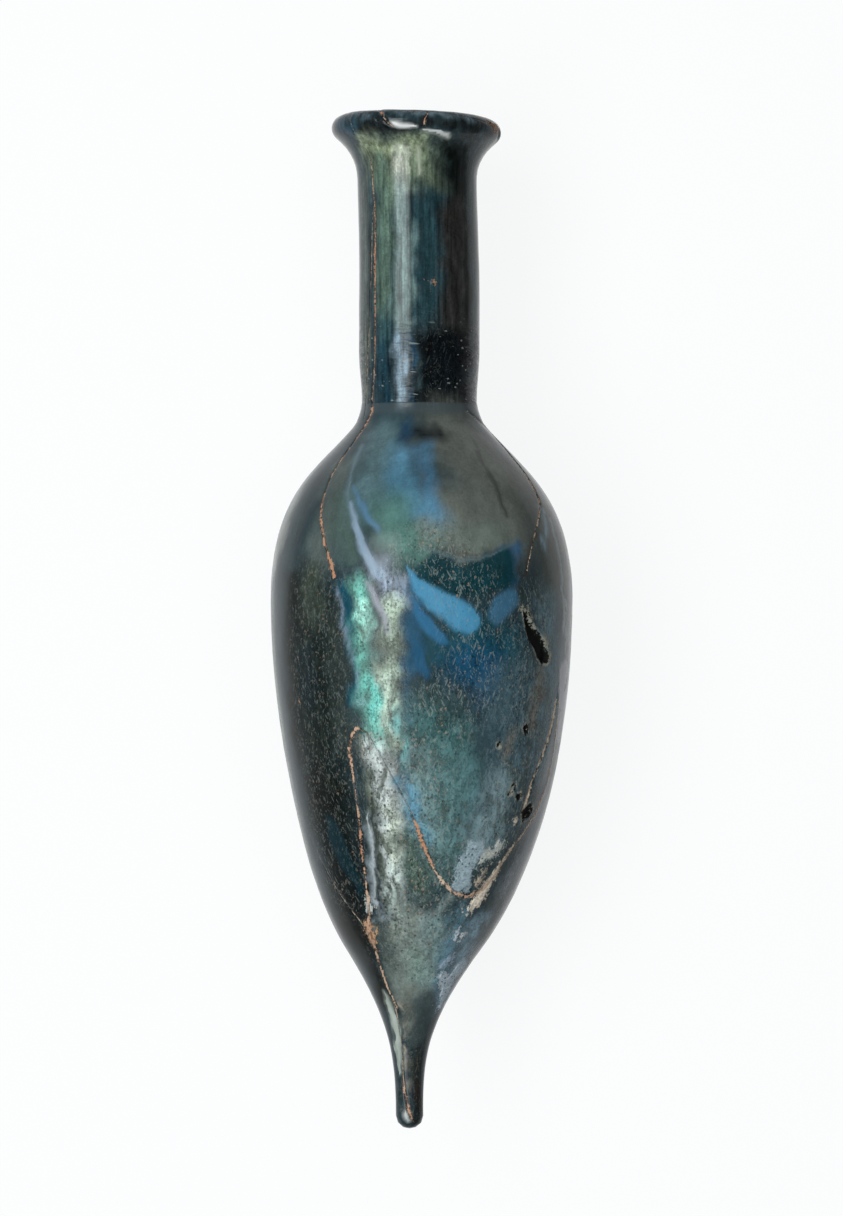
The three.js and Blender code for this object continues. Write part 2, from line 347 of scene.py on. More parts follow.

# The glass's colours, with painted light and shade among them, painted in this order. A stroke is a
# colour, how much it covers, half its width and its softness in millimetres, and its places in the
# photograph.
GROUND = "#27363b"
STROKES = dict(
    lip_band=("#171b1b", 0.9, 1.0, 0.5, (334, 131), (380, 125), (418, 123), (460, 125), (498, 131)),
    lip_top=("#56666e", 0.85, 0.6, 0.5, (350, 117), (385, 112), (420, 111), (455, 114), (480, 118)),
    lip_left=("#1b3a4a", 0.7, 1.2, 1.0, (338, 128), (350, 130)),
    flare_olive=("#7e8b71", 0.9, 1.8, 1.6, (366, 144), (392, 150), (414, 146)),
    flare_green=("#5f6e5a", 0.85, 1.7, 1.5, (378, 165), (392, 185), (424, 160), (432, 178)),
    flare_shade=("#36403a", 0.85, 1.3, 1.3, (440, 146), (444, 180)),
    # Painted dark reflection of the studio's dark side on the flare's right side.
    flare_right_painted_dark_reflection=("#0d1210", 0.95, 2.0, 1.2, (455, 148), (460, 172), (458, 210)),
    # Painted highlight: the key lamp's reflection on the flare below the lip.
    flare_painted_highlight=("#a3ab9f", 0.85, 0.8, 0.8, (402, 152), (403, 166), (404, 188)),
    neck_left_edge=("#444e4a", 0.85, 1.1, 0.8, (364, 165), (365, 400)),
    neck_olive=("#52685d", 0.9, 1.3, 1.2, (382, 165), (384, 250), (384, 305)),
    neck_olive_low=("#2f4c50", 0.8, 1.1, 1.2, (384, 320), (384, 345)),
    neck_teal=("#173643", 0.8, 0.9, 1.1, (383, 350), (384, 402)),
    # Painted highlight: the key lamp's reflection down the neck, painted lighter into the glass's colour
    # beside the lamp's own highlight.
    neck_painted_highlight=("#647d7b", 0.85, 1.1, 1.0, (403, 185), (405, 322)),
    neck_painted_highlight_low=("#7a93a2", 0.8, 0.6, 0.7, (399, 335), (400, 404)),
    neck_blue_side=("#1f4560", 0.8, 0.3, 0.4, (411, 340), (412, 404)),
    neck_blue=("#1b353b", 0.9, 1.7, 1.3, (427, 205), (428, 310)),
    # Painted dark reflections of the studio's dark side down the neck's right side.
    neck_right_painted_dark_reflection=("#292928", 0.95, 2.4, 1.4, (456, 212), (456, 330)),
    neck_edge_painted_dark_reflection=("#111312", 0.9, 0.8, 0.7, (467, 215), (468, 330)),
    neck_low_painted_dark_reflection=("#070b0e", 0.95, 2.6, 1.2, (434, 348), (462, 352), (438, 374), (462, 398), (434, 400)),
    neck_right_edge=("#4a4d4d", 0.7, 0.3, 0.4, (478, 180), (478, 400)),
    # Painted reflection: the pale fringe where the shoulder's left edge reflects the bright surroundings.
    shoulder_edge_painted_reflection=("#7d8380", 0.85, 1.2, 1.7, (331, 446), (297, 496), (276, 556)),
    shoulder_left_dim=("#525e5b", 0.8, 2.4, 2.2, (342, 470), (334, 510), (318, 560)),
    shoulder_green=("#42544f", 0.85, 1.5, 1.6, (341, 500), (345, 530), (352, 554)),
    shoulder_warm=("#5c625c", 0.9, 5.5, 3.0, (462, 440), (490, 480), (500, 525), (455, 520)),
    shoulder_right=("#50564f", 0.7, 3.0, 2.5, (520, 480), (545, 530), (556, 575)),
    shoulder_middle=("#4f6a70", 0.85, 3.0, 2.5, (385, 436), (375, 470), (368, 500)),
    shoulder_blue=("#4d7b93", 0.85, 1.8, 1.8, (402, 455), (400, 490), (404, 508)),
    shoulder_blue_right=("#456f8a", 0.85, 1.1, 1.1, (424, 448), (432, 512)),
    shoulder_light_blue=("#51809b", 0.8, 1.7, 1.4, (412, 498), (430, 512), (437, 522)),
    shoulder_gap=("#47565f", 0.7, 0.4, 0.5, (417, 446), (419, 470), (422, 496)),
    neck_shadow=("#0e151a", 0.95, 1.0, 1.1, (418, 430), (428, 436), (438, 432)),
    neck_shadow_blue=("#1c3a52", 0.85, 0.9, 0.7, (406, 426), (408, 441)),
    green_glow=("#4c7069", 0.9, 3.0, 2.6, (392, 512), (400, 532), (412, 545)),
    grey_right_end=("#5f6b66", 0.7, 1.6, 1.4, (430, 532), (470, 538), (500, 532)),
    blue_upper_right=("#315b7b", 0.9, 0.9, 0.8, (500, 555), (518, 552), (512, 566), (511, 578)),
    leaf_pale=("#6f8a9a", 0.85, 0.45, 0.4, (541, 508), (546, 525), (543, 548)),
    leaf_brown=("#3b3128", 0.85, 0.3, 0.35, (535, 535), (531, 556), (526, 578)),
    dark_teal=("#0e343b", 0.95, 2.6, 0.7, (432, 575), (456, 578), (476, 578), (502, 568)),
    dark_teal_low=("#164450", 0.85, 3.4, 3.0, (446, 650), (480, 640), (500, 650)),
    left_flank=("#121b19", 0.95, 4.8, 3.0, (306, 600), (312, 700), (326, 800)),
    left_flank_low=("#0a0f0e", 0.95, 4.2, 2.6, (326, 800), (345, 880), (352, 930)),
    left_blue_tint=("#13222a", 0.6, 1.4, 1.6, (305, 650), (309, 700)),
    left_edge_dark=("#0b1210", 0.9, 1.5, 1.3, (291, 580), (290, 640), (292, 700), (300, 760)),
    # Painted reflection: the pale fringe where the belly's left edge reflects the bright surroundings.
    left_rim_painted_reflection=("#b4b8b7", 0.8, 0.5, 0.9, (275, 560), (271, 610), (271, 660), (276, 720), (287, 790)),
    left_grey=("#2f3835", 0.7, 1.7, 1.7, (336, 620), (343, 740)),
    left_olive=("#38423a", 0.7, 1.8, 1.6, (313, 575), (311, 612)),
    deep_teal=("#0c3f50", 0.9, 0.9, 0.8, (346, 590), (357, 700)),
    lavender=("#748293", 0.8, 0.28, 0.4, (339, 596), (346, 625), (353, 665), (363, 705), (371, 728)),
    # Weathered film with a painted highlight: the key lamp's reflection on the film, painted into the
    # turquoise and pale mottled colours below.
    turquoise=("#5a9a8e", 0.85, 1.4, 1.2, (361, 588), (362, 640), (368, 690), (377, 740)),
    turquoise_bright_film_and_painted_highlight=("#9fd8ca", 0.85, 0.8, 0.9, (362, 606), (365, 620), (369, 636)),
    turquoise_low_film_and_painted_highlight=("#58b2a8", 0.85, 0.7, 0.9, (370, 676), (372, 700), (376, 716)),
    # Painted reflection: a veil of the key lamp's reflection above the band.
    painted_reflection_above_band=("#7f8fa1", 0.8, 1.4, 1.1, (382, 572), (392, 585), (398, 600)),
    mottled_green_film_and_painted_highlight=("#97ab99", 0.85, 1.2, 1.1, (392, 605), (390, 650), (389, 700), (396, 745)),
    mottled_dark=("#4a5846", 0.7, 0.6, 0.8, (384, 640), (386, 668), (388, 676)),
    mottled_pale_film_and_painted_highlight=("#9db3a5", 0.85, 0.9, 0.8, (388, 680), (389, 712), (394, 735)),
    blue_beside=("#24536f", 0.75, 1.0, 1.2, (410, 590), (414, 630), (412, 668)),
    blue_streaks=("#2b5a73", 0.6, 0.6, 0.7, (404, 670), (408, 700), (411, 722)),
    blue_lower=("#11425f", 0.85, 2.4, 2.2, (460, 664), (472, 668), (490, 662)),
    blue_edge=("#2a506c", 0.7, 1.6, 1.6, (488, 690), (494, 668)),
    petal_gap=("#15281f", 0.9, 0.2, 0.25, (431, 614), (440, 624), (448, 634)),
    green_middle=("#355a5a", 0.8, 3.6, 3.2, (425, 725), (445, 740), (450, 780)),
    teal_seam=("#4f9c9e", 0.75, 0.5, 0.6, (396, 712), (402, 740), (404, 765)),
    centre_teal=("#4c6768", 0.85, 4.6, 4.0, (430, 790), (440, 830), (436, 855)),
    centre_right=("#547b7d", 0.8, 3.2, 3.0, (470, 790), (476, 830)),
    centre_grey=("#648184", 0.6, 1.6, 1.6, (420, 760), (416, 800), (428, 840)),
    centre_blue=("#4f8199", 0.7, 1.0, 1.0, (402, 780), (412, 810), (420, 835)),
    right_flank=("#405861", 0.85, 4.2, 3.4, (516, 690), (506, 760), (492, 820)),
    right_low=("#6a8085", 0.8, 2.0, 2.2, (500, 780), (494, 818), (478, 838)),
    right_dark=("#4e6a74", 0.8, 2.6, 2.4, (548, 610), (552, 690), (540, 760)),
    right_slate=("#5f6a70", 0.8, 1.3, 1.2, (552, 740), (543, 800), (524, 850), (500, 895)),
    right_brown=("#5f5b50", 0.7, 1.0, 1.0, (541, 672), (538, 700), (530, 725)),
    right_rust=("#6c6254", 0.6, 0.9, 0.9, (514, 735), (506, 755)),
    # Weathered film with a painted highlight: the key lamp's reflection on the pale band, painted into its
    # colour.
    band_pale_film_and_painted_highlight=("#a0aba9", 0.9, 1.5, 1.0, (372, 750), (382, 775), (388, 800), (392, 840), (392, 880)),
    band_green_film_and_painted_highlight=("#a4b4a2", 0.7, 0.8, 0.8, (390, 815), (398, 838), (394, 862)),
    band_dark=("#4a5246", 0.85, 0.7, 0.7, (362, 742), (369, 790), (372, 830), (376, 862)),
    band_vein=("#4d5649", 0.7, 0.25, 0.5, (376, 806), (388, 812), (398, 806)),
    band_vein_low=("#535c50", 0.7, 0.25, 0.5, (380, 836), (390, 842), (400, 836)),
    band_left=("#7c8a90", 0.8, 0.6, 0.5, (368, 830), (371, 860), (375, 900), (378, 918)),
    band_foot=("#8c9a95", 0.8, 1.3, 1.1, (394, 870), (397, 900), (392, 930)),
    olive_glow=("#3d4d44", 0.9, 1.4, 1.3, (408, 840), (416, 870), (422, 885)),
    foot_green=("#77857f", 0.9, 2.6, 2.2, (405, 925), (412, 955), (408, 985)),
    foot_dark=("#46514f", 0.6, 1.0, 1.2, (424, 895), (430, 912)),
    foot_shade=("#4c5650", 0.6, 0.8, 1.1, (386, 930), (391, 955), (397, 980)),
    foot_right=("#728b8b", 0.8, 1.3, 1.5, (438, 926), (433, 950), (426, 978)),
    foot_bright=("#6c897f", 0.55, 1.0, 1.3, (414, 955), (416, 972)),
    foot_arc=("#8a9f9f", 0.65, 0.6, 0.9, (455, 900), (438, 910), (424, 924)),
    foot_blue=("#5d8494", 0.8, 1.2, 1.1, (462, 915), (448, 945), (436, 975)),
    foot_slate=("#647e8b", 0.9, 1.8, 1.5, (478, 925), (456, 970), (440, 1000)),
    foot_left=("#0a100e", 0.95, 1.6, 1.2, (362, 935), (372, 965), (385, 1000)),
    tail_slate=("#3b4647", 0.85, 1.7, 1.4, (426, 1000), (420, 1036)),
    tail_dark=("#1c2022", 0.9, 1.3, 1.1, (418, 1050), (417, 1120)),
    tail_grey=("#5b615c", 0.85, 0.9, 0.9, (406, 990), (408, 1015), (407, 1030)),
    tail_warm=("#88857a", 0.9, 0.3, 0.4, (400, 1003), (404, 1030), (405, 1080)),
    tail_brown=("#2b211c", 0.75, 0.6, 0.6, (413, 1062), (415, 1085), (416, 1105)),
    tail_left=("#1c2522", 0.85, 0.4, 0.4, (388, 1020), (396, 1060), (399, 1100)),
)

# Where the glass carries a broken film that shows as flakes, as strokes: cover, half width,
# softness and places
FILMS = dict(
    turquoise=(0.85, 1.3, 1.4, (360, 580), (362, 640), (370, 700), (380, 745)),
    mottled=(0.7, 1.9, 1.4, (390, 580), (390, 650), (392, 720), (402, 760)),
    band=(0.95, 1.9, 0.8, (366, 750), (380, 790), (386, 850), (388, 920)),
    belly=(0.42, 7.0, 5.0, (440, 740), (470, 800), (450, 850)),
    right=(0.5, 4.5, 3.0, (535, 620), (540, 700), (515, 800), (480, 930)),
    foot=(0.25, 2.4, 2.0, (395, 900), (410, 950), (430, 980), (440, 930)),
    left=(0.3, 5.0, 3.0, (320, 600), (325, 700), (340, 800)),
    tail=(0.35, 0.9, 0.9, (402, 1010), (412, 1060), (410, 1110)),
)

# Where the skin is sprinkled with beige specks and fine threads, as strokes
SPECKS = dict(
    left=(0.42, 6.0, 3.0, (315, 600), (320, 700), (335, 800), (350, 880)),
    middle=(0.75, 5.0, 3.0, (430, 560), (470, 600), (480, 680), (440, 720)),
    right=(0.8, 5.0, 3.0, (530, 620), (530, 720), (505, 820)),
    lower=(0.8, 6.0, 4.0, (400, 760), (430, 850), (420, 950)),
    neck=(0.12, 3.0, 2.0, (430, 330), (440, 395)),
    tail=(0.3, 2.0, 2.0, (402, 1000), (410, 1110)),
)

# Turned copies of the same colours cover the sides and the back, which the photograph doesn't
# show: degrees round the axis, and how far towards the front a surface faces where they end
TURNS = (108, 205, 292)
BACK_TURN = 190
BACK_EDGE = (-0.1, 0.3)


def resample(points, step):
    """Points along a smooth line through the given ones, about a step apart."""
    rows = np.array(points, float)
    if len(rows) < 2:
        return rows
    padded = np.vstack([2 * rows[0] - rows[1], rows, 2 * rows[-1] - rows[-2]])
    made = []
    for before, start, end, after in zip(padded, padded[1:], padded[2:], padded[3:]):
        count = max(1, round(float(np.linalg.norm(end[:2] - start[:2])) / step))
        for t in np.arange(count) / count:
            made.append(
                0.5 * (2 * start + (end - before) * t + (2 * before - 5 * start + 4 * end - after) * t**2
                       + (3 * (start - end) + after - before) * t**3)
            )
    made.append(rows[-1])
    return np.array(made)


def smooth(value, low, high):
    t = np.clip((value - low) / (high - low), 0, 1)
    return t * t * (3 - 2 * t)


def linear(colour):
    """A hexadecimal colour as linear red, green and blue."""
    shares = np.array([int(colour[i : i + 2], 16) for i in (1, 3, 5)]) / 255
    return np.where(shares <= 0.04045, shares / 12.92, ((shares + 0.055) / 1.055) ** 2.4)


def station(radius, height, lean=0.0):
    angle = math.radians(lean)
    return np.array([radius, height]), np.array([math.sin(angle), math.cos(angle)])


def inset(at, wall):
    (radius, height), along = at
    return np.array([radius - along[1] * wall, height + along[0] * wall]), along


def on_lip(degrees, lean=0.0):
    angle = math.radians(degrees)
    return station(
        LIP_CENTRE_RADIUS + LIP_ROUND * math.cos(angle), LIP_HEIGHT + LIP_ROUND * math.sin(angle), lean
    )


def wall_curve(start, end, leave_share, arrive_share):
    """A cubic curve between two stations that leaves and arrives along the wall."""
    (a, leave), (d, arrive) = start, end
    way = math.copysign(np.linalg.norm(d - a), d[1] - a[1])
    b, c = a + leave * way * leave_share, d - arrive * way * arrive_share
    t = np.linspace(0, 1, CURVE_POINTS)[:, None]
    return a * (1 - t) ** 3 + 3 * b * t * (1 - t) ** 2 + 3 * c * t**2 * (1 - t) + d * t**3


def arc(radius, height, round_radius, from_degrees, to_degrees):
    angle = np.radians(np.linspace(from_degrees, to_degrees, CURVE_POINTS))
    return np.stack([radius + round_radius * np.cos(angle), height + round_radius * np.sin(angle)], 1)


def profiles():
    """The outside from the tail's end to the lip's inner edge, and the inside from there down."""
    tail_mouth = station(TAIL_MOUTH_RADIUS, TAIL_LENGTH, TAIL_MOUTH_LEAN)
    belly = station(BELLY_RADIUS, BELLY_HEIGHT)
    shoulder = station(WAIST_RADIUS + COLLAR_FLARE, SHOULDER_HEIGHT, SHOULDER_LEAN)
    collar = station(WAIST_RADIUS + COLLAR_FLARE, SHOULDER_HEIGHT, COLLAR_LEAN)
    neck_foot = station(WAIST_RADIUS, NECK_FOOT_HEIGHT)
    swell = station(NECK_RADIUS + NECK_SWELL, NECK_FOOT_HEIGHT + NECK_SWELL_HEIGHT)
    neck_top = station(NECK_RADIUS, NECK_TOP_HEIGHT)
    bore_top = station(BORE_RADIUS, NECK_TOP_HEIGHT)
    bore_foot = station(BORE_RADIUS, NECK_FOOT_HEIGHT)
    inner_shoulder = inset(shoulder, (NECK_WALL + BELLY_WALL) / 2)
    inner_belly = inset(belly, BELLY_WALL)
    inner_base = inset(tail_mouth, BASE_WALL)
    floor = station(0, SOLID_TAIL, 90)
    outer = [
        arc(0, TIP_RADIUS, TIP_RADIUS, -90, 0),
        wall_curve(station(TIP_RADIUS, TIP_RADIUS), tail_mouth, 0.35, 0.5),
        wall_curve(tail_mouth, belly, 0.3, 0.3),
        wall_curve(belly, shoulder, 0.55, 0.3),
        wall_curve(collar, neck_foot, 0.3, 0.3),
        wall_curve(neck_foot, swell, 0.35, 0.35),
        wall_curve(swell, neck_top, 0.35, 0.35),
        wall_curve(neck_top, on_lip(-LIP_LEAN, LIP_LEAN), 0.45, 0.3),
    ]
    lip = [arc(LIP_CENTRE_RADIUS, LIP_HEIGHT, LIP_ROUND, -LIP_LEAN, THROAT_ANGLE)]
    inner = [
        wall_curve(on_lip(THROAT_ANGLE), bore_top, 0.25, 0.45),
        wall_curve(bore_top, bore_foot, 0.3, 0.3),
        wall_curve(bore_foot, inner_shoulder, 0.35, 0.3),
        wall_curve(inner_shoulder, inner_belly, 0.3, 0.55),
        wall_curve(inner_belly, inner_base, 0.3, 0.3),
        wall_curve(inner_base, floor, 0.4, 0.35),
    ]
    return [joined(curves) for curves in (outer, lip, inner)]


def joined(curves):
    """Curves that meet end to end as one line."""
    return np.vstack([curves[0], *(curve[1:] for curve in curves[1:])])


def lengths_along(line):
    return np.concatenate([[0], np.cumsum(np.linalg.norm(np.diff(line, axis=0), axis=1))])


class Skin:
    """The flask's surface: a place on it is an angle round the axis and a length along the profile.

    The end height is where the tail's end lies along Y.
    """

    def __init__(self, end_height):
        self.end_height = end_height
        outer, lip, inner = profiles()
        self.profile = joined([outer, lip, inner])
        self.profile[[0, -1], 0] = 0
        self.length = lengths_along(self.profile)
        outer_end = lengths_along(outer)[-1]
        self.lip_end = lip_end = lengths_along(joined([outer, lip]))[-1]
        self.rows = np.concatenate([
            np.linspace(0, outer_end, round(outer_end / OUTER_ROW))[:-1],
            np.linspace(outer_end, lip_end, round((lip_end - outer_end) / LIP_ROW))[:-1],
            np.linspace(lip_end, self.length[-1], round((self.length[-1] - lip_end) / INNER_ROW)),
        ])
        tangent = np.gradient(self.profile, axis=0)
        tangent /= np.linalg.norm(tangent, axis=1)[:, None]
        self.normal = np.stack([tangent[:, 1], -tangent[:, 0]], 1)
        self.envelope = np.vstack([outer, lip])[: len(outer) + int(np.argmax(lip[:, 1]))]

    def at(self, angle, length):
        """Points and normals in row millimetres, for arrays of places."""
        radius, height = (np.interp(length, self.length, self.profile[:, i]) for i in (0, 1))
        out, up = (np.interp(length, self.length, self.normal[:, i]) for i in (0, 1))
        points = np.stack([radius * np.sin(angle), height, radius * np.cos(angle)], -1)
        normals = np.stack([out * np.sin(angle), up, out * np.cos(angle)], -1)
        return hand_made(points), normals

    def radius(self, height):
        return np.interp(height, self.envelope[:, 1], self.envelope[:, 0])


def sideways(height):
    tail = 1 - smooth(height, TAIL_SHIFT_FROM, TAIL_SHIFT_TO)
    neck = smooth(height, BELLY_HEIGHT, NECK_FOOT_HEIGHT)
    rim = smooth(height, (NECK_FOOT_HEIGHT + NECK_TOP_HEIGHT) / 2, LIP_HEIGHT)
    return TAIL_SHIFT * tail + NECK_SHIFT * neck + RIM_SHIFT * rim


def hand_made(points):
    """Moves points of the true round body to where the hand-made one has them."""
    x, height, z = points[..., 0], points[..., 1], points[..., 2]
    rim = smooth(height, (NECK_FOOT_HEIGHT + NECK_TOP_HEIGHT) / 2, LIP_HEIGHT)
    tilted = height - x * math.tan(math.radians(RIM_TILT)) * rim
    return np.stack([x + sideways(height), tilted, z], -1)


def on_glass(skin, places):
    """Photograph places as points on the front of the flask, with the height from the tail's end."""
    places = np.array(places, float)
    seen_x = (places[:, 0] - PHOTO_MIDDLE[0]) * MM_PER_PIXEL
    seen_y = (PHOTO_MIDDLE[1] - places[:, 1]) * MM_PER_PIXEL
    z = np.zeros(len(places))
    for _ in range(SIGHT_STEPS):
        nearness = 1 - z / CAMERA_RISE
        x = CAMERA_X + seen_x * nearness
        height = CAMERA_Y + seen_y * nearness - skin.end_height
        across = x - sideways(height)
        z = np.sqrt(np.maximum(skin.radius(height) ** 2 - across**2, 0))
    return np.stack([x, height, z], 1)


def turned(points, degrees):
    angle = math.radians(degrees)
    x, height, z = points.T
    across = x * math.cos(angle) + z * math.sin(angle)
    return np.stack([across, height, z * math.cos(angle) - x * math.sin(angle)], 1)


def to_line(points, line, reach):
    """How far each point is from a line, and where on the line it is nearest, within a reach."""
    distance = np.full(len(points), FAR)
    place = np.zeros(len(points))
    low, high = line.min(0) - reach, line.max(0) + reach
    near = np.flatnonzero(((points > low) & (points < high)).all(1))
    if not len(near):
        return distance, place
    p = points[near]
    best, where = np.full(len(near), FAR), np.zeros(len(near))
    if len(line) == 1:
        best = np.linalg.norm(p - line[0], axis=1)
    for i, (a, b) in enumerate(zip(line, line[1:])):
        way = b - a
        t = np.clip((p - a) @ way / max(way @ way, 1e-12), 0, 1)
        d = np.linalg.norm(p - a - t[:, None] * way, axis=1)
        closer = d < best
        best[closer], where[closer] = d[closer], i + t[closer]
    distance[near], place[near] = best, where
    return distance, place


def stroke_cover(skin, points, stroke, turn):
    """How much a stroke covers each point. Turn is its place round the axis, in degrees."""
    cover, half_width, softness, *places = stroke
    line = turned(on_glass(skin, resample(places, STROKE_STEP)), turn)
    distance, _ = to_line(points, line, half_width + softness)
    return cover * (1 - smooth(distance, half_width - softness, half_width + softness))


def outline_depth(skin, points, outline):
    """Signed distance to an outline on the glass: negative inside."""
    closed = on_glass(skin, resample([*outline, outline[0]], OUTLINE_STEP))
    distance, _ = to_line(points, closed, OUTLINE_REACH)
    flat = closed[:, :2]
    near = np.flatnonzero((distance < FAR) & (points[:, 2] > 0))
    inside = np.zeros(len(points), bool)
    x, y = points[near, 0], points[near, 1]
    for (x0, y0), (x1, y1) in zip(flat, np.roll(flat, -1, axis=0)):
        crossing = (y0 > y) != (y1 > y)
        if crossing.any():
            inside[near] ^= crossing & (x < x0 + (y - y0) * (x1 - x0) / ((y1 - y0) or 1e-9))
    return np.where(inside, -distance, distance)


def crack_field(skin, points, normals, rows):
    """The signed distance to a crack, half its fill's width there and how orange the fill is."""
    dense = resample(rows, CRACK_STEP)
    line = on_glass(skin, dense[:, :2])
    distance, place = to_line(points, line, CRACK_REACH)
    start = np.minimum(place.astype(int), len(line) - 2)
    way = line[start + 1] - line[start]
    side = np.einsum("ij,ij->i", np.cross(way, points - line[start]), normals)
    width = np.interp(place, np.arange(len(line)), dense[:, 2])
    warmth = np.interp(place, np.arange(len(line)), dense[:, 3])
    signed = np.where(side < 0, -1, 1) * np.minimum(distance, CRACK_REACH)
    return np.stack([signed, width, warmth], 1)


def nearest_crack(fields):
    """The distance, width and warmth of whichever crack is nearest to each point."""
    stacked = np.stack(list(fields.values()))
    nearest = np.abs(stacked[:, :, 0]).argmin(0)
    chosen = stacked[nearest, np.arange(stacked.shape[1])]
    chosen[:, 0] = np.abs(chosen[:, 0])
    return chosen


def behind(normals, turn):
    """1 on the sides and the back, where the turned copies of the colours belong."""
    return 1 - smooth(normals[:, 2], *BACK_EDGE) if turn else np.ones(len(normals))


def paint(skin, points, normals):
    """The glass's soft colours, painted light and shade among them, as linear red, green and blue for each
    point.
    """
    colour = np.tile(linear(GROUND), (len(points), 1))
    for turn in (*TURNS, 0):
        shown = behind(normals, turn)
        for shade, *stroke in STROKES.values():
            share = stroke_cover(skin, points, stroke, turn) * shown
            colour += (linear(shade) - colour) * share[:, None]
    return colour


def sprinkle(skin, points, normals, strokes):
    """How much of a broken film or of specks each point carries, from 0 to 1."""
    share = np.zeros(len(points))
    for turn in (*TURNS, 0):
        shown = behind(normals, turn)
        for stroke in strokes.values():
            share = np.maximum(share, stroke_cover(skin, points, stroke, turn) * shown)
    return share


def patches(skin, points, shapes, turns=(0,)):
    """The signed distance to the nearest of some outlines, and that outline's colour."""
    depth = np.full(len(points), OUTLINE_REACH)
    colour = np.tile(linear(next(iter(shapes.values()))[0]), (len(points), 1))
    for turn in turns:
        seen = turned(points, -turn)
        for shade, outline in shapes.values():
            here = outline_depth(skin, seen, outline)
            nearer = here < depth
            depth = np.where(nearer, here, depth)
            colour[nearer] = linear(shade)
    return depth, colour


def roughly(points, scale, seed=0.0, octaves=3):
    """Smooth noise about zero, for each point."""
    offset = Vector((seed, seed * 0.7, seed * 1.3))
    return np.array([noise.fractal(Vector(p) / scale + offset, 1.0, 2.0, octaves) for p in points])


def wandered(points, reach, scale=2.8):
    """Points moved a little at random, so that what is painted by them has uneven edges."""
    return points + reach * np.stack([roughly(points, scale, seed) for seed in (5.0, 11.0, 17.0)], 1)


def flaw_distance(skin, places):
    """How near each place is to a crack, a pit, a crust or a light shape's edge."""
    nearest = np.full(len(places), FAR)
    lines = [np.array(points)[:, :2] for *_, points in CRACKS.values()]
    shapes = [*PIT_OUTLINES.values(), *CRUSTS.values(), *GLOWS.values()]
    lines += [[*outline, outline[0]] for _, outline in shapes]
    for line in lines:
        distance, _ = to_line(places, on_glass(skin, resample(line, FLAW_STEP)), FLAW_REACH)
        nearest = np.minimum(nearest, distance)
    return nearest


def unrolled_mesh(skin):
    """A flat sheet of angle and length, made finer where the glass is flawed."""
    angles = np.linspace(-math.pi, math.pi, COLUMNS + 1)
    bm = bmesh.new()
    grid = [[bm.verts.new((a, l, 0)) for a in angles] for l in skin.rows]
    for lower, upper in zip(grid, grid[1:]):
        for i in range(COLUMNS):
            bm.faces.new((lower[i], lower[i + 1], upper[i + 1], upper[i]))
    for reach in REFINED_REACH:
        faces = [f for f in bm.faces if len(f.verts) == 4]
        centres = np.array([f.calc_center_median()[:] for f in faces])
        points, _ = skin.at(centres[:, 0], centres[:, 1])
        outer = centres[:, 1] < skin.lip_end
        clear_of_seam = np.abs(centres[:, 0]) < SEAM_ANGLE
        chosen = (flaw_distance(skin, points) < reach) & outer & clear_of_seam
        edges = {e for f, c in zip(faces, chosen) if c for e in f.edges}
        bmesh.ops.subdivide_edges(bm, edges=list(edges), cuts=1, use_grid_fill=True)
    bmesh.ops.triangulate(bm, faces=[f for f in bm.faces if len(f.verts) > 4])
    return bm


def relief(skin, points, cracks, pits, crust):
    """How far the real skin stands above the smooth one, in millimetres."""
    height = WAVES[0] * roughly(points, WAVES[1], 1.0) + GRAIN[0] * roughly(points, GRAIN[1], 2.0)
    for name, (rise, step, _) in CRACKS.items():
        signed, width, _ = cracks[name].T
        fill = np.exp(-((signed / (width + FILL_EDGE)) ** 2))
        ledge = smooth(signed, *LEDGE_EDGE) * (1 - smooth(np.abs(signed), *LEDGE_FADE))
        height += rise * fill + step * ledge
    for name, (depth, _) in PIT_OUTLINES.items():
        height -= depth * smooth(-pits[name], *PIT_EDGE)
    height += CRUST_RISE * smooth(-crust, *CRUST_EDGE)
    for angle, length, size, depth in CHIPS:
        centre, _ = skin.at(math.radians(angle), skin.lip_end - length)
        away = np.linalg.norm((points - centre) / size, axis=1)
        height -= depth * (1 - smooth(away, *CHIP_EDGE))
    return height


def store(mesh, name, values):
    """Keeps one number, vector or colour for each vertex of a mesh."""
    values = np.asarray(values, np.float32)
    if values.ndim == 1:
        kind, field = "FLOAT", "value"
    elif name.endswith("colour"):
        kind, field = "FLOAT_COLOR", "color"
        values = np.hstack([values, np.ones((len(values), 1), np.float32)])
    else:
        kind, field = "FLOAT_VECTOR", "vector"
    mesh.attributes.new(name, kind, "POINT").data.foreach_set(field, values.ravel())


